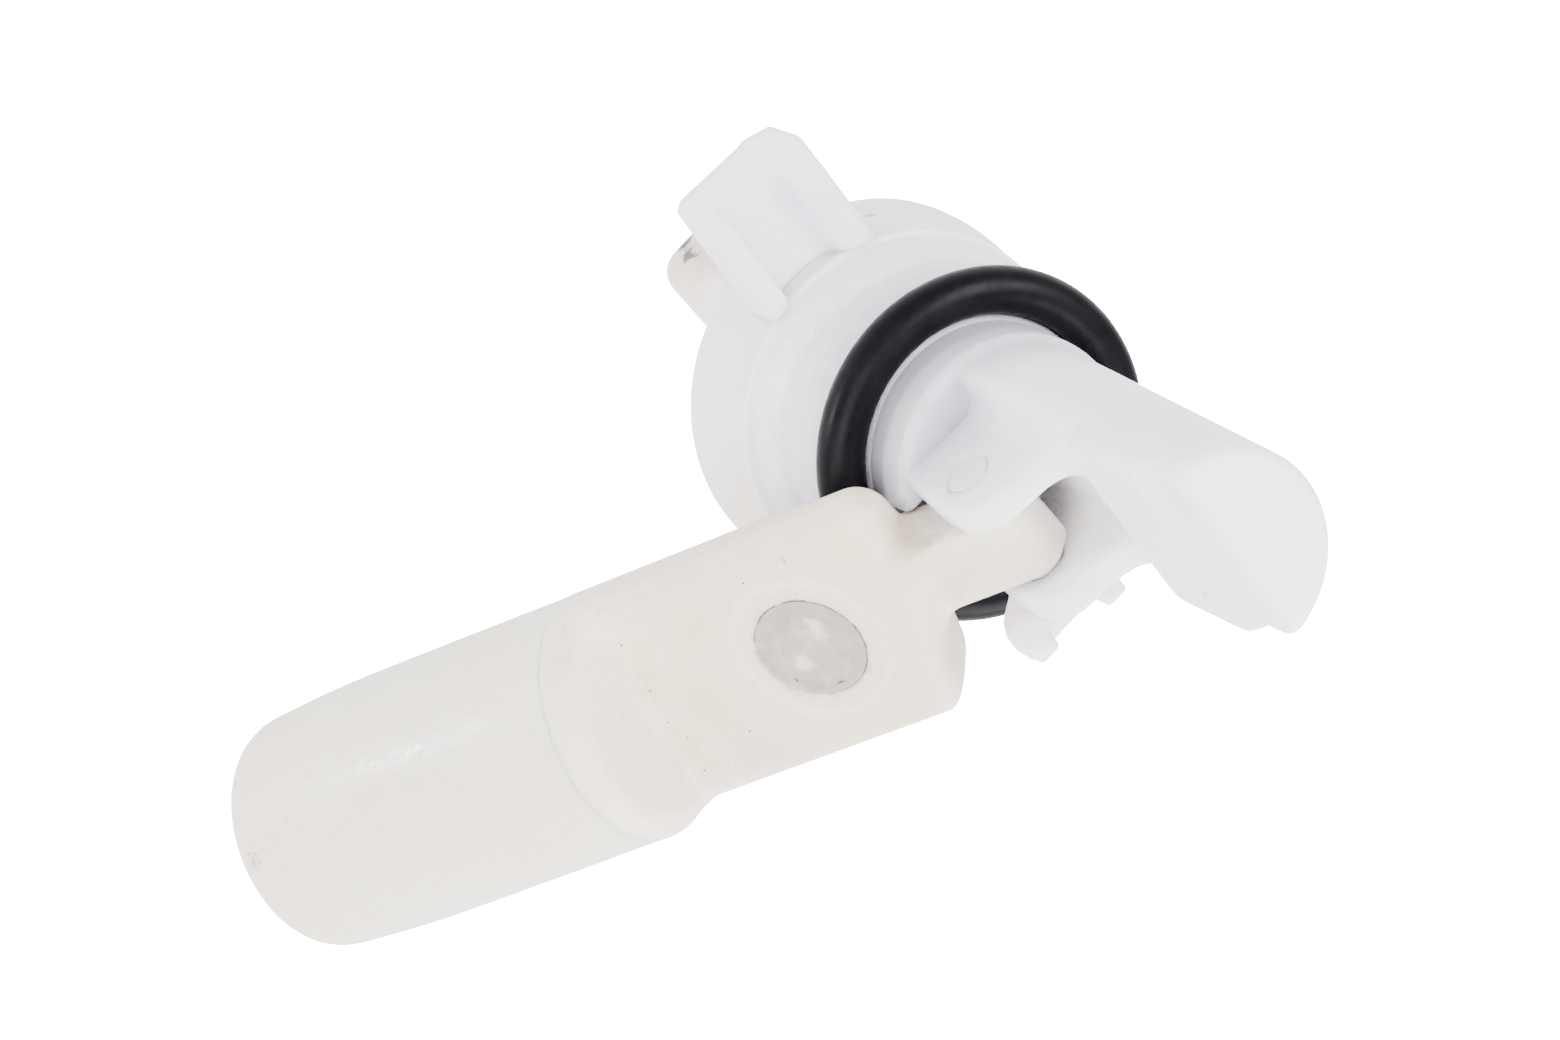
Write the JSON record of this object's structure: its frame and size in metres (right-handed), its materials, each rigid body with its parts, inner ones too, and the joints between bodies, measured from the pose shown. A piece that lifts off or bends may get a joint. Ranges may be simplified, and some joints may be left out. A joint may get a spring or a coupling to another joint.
{
  "type": "float level sensor",
  "caption": "Small tank level sensor: a hinged float with a magnet swings on a round sealed body towards a closed finger that holds a reed switch.",
  "frame": {"origin": "centre of the O-ring, on the body's axis", "axes": "+Z along the body's axis out of the nose into the tank, +Y towards the side that carries the closed finger, X along the float's hinge pin"},
  "size_m": [0.0393, 0.0749, 0.0764],
  "materials": {
    "white_moulding": "satin, cool white",
    "cream_moulding": "matte, cream",
    "seal_rubber": "satin, black",
    "pin_steel": "satin",
    "clip_plastic": "matte, pinkish white",
    "float_plastic": "fine grained, warm off-white",
    "magnet_ferrite": "matte, dark grey",
    "magnet_disc": "worn satin, grey",
    "carrier_plastic": "matte, black",
    "tinned_brass": "tinned, satin",
    "potting_resin": "cast, glossy",
    "switch_glass": "clear, faintly green",
    "tinned_copper": "tinned, drawn wire",
    "sleeve_plastic": "matte",
    "strip_plastic": "matte, green laminate"
  },
  "bodies": {
    "sensor": {"sensor_body": "white_moulding", "plug_housing": "cream_moulding", "o_ring": "seal_rubber", "hinge_pin": "pin_steel", "hinge_clip": "clip_plastic", "terminal_carrier": "carrier_plastic", "terminal_pin_left": "tinned_brass", "terminal_pin_right": "tinned_brass", "potting_plug": "potting_resin", "crimp_left": "tinned_brass", "crimp_right": "tinned_brass", "crimp_front": "tinned_brass", "reed_glass": "switch_glass", "reed_lead_front": "tinned_copper", "reed_lead_rear": "tinned_copper", "return_wire": "tinned_copper", "wire_sleeve": "sleeve_plastic", "reed_carrier": "strip_plastic"},
    "float": {"float_holder": "float_plastic", "float_cup": "float_plastic", "magnet": "magnet_ferrite", "magnet_cover": "magnet_disc"}
  },
  "joints": [
    {"name": "float_hinge", "type": "hinge", "parent": "sensor", "child": "float", "pos_m": [0, -0.0047, 0.0117], "axis": [-1, 0, 0], "range_deg": [0, 125]}
  ]
}
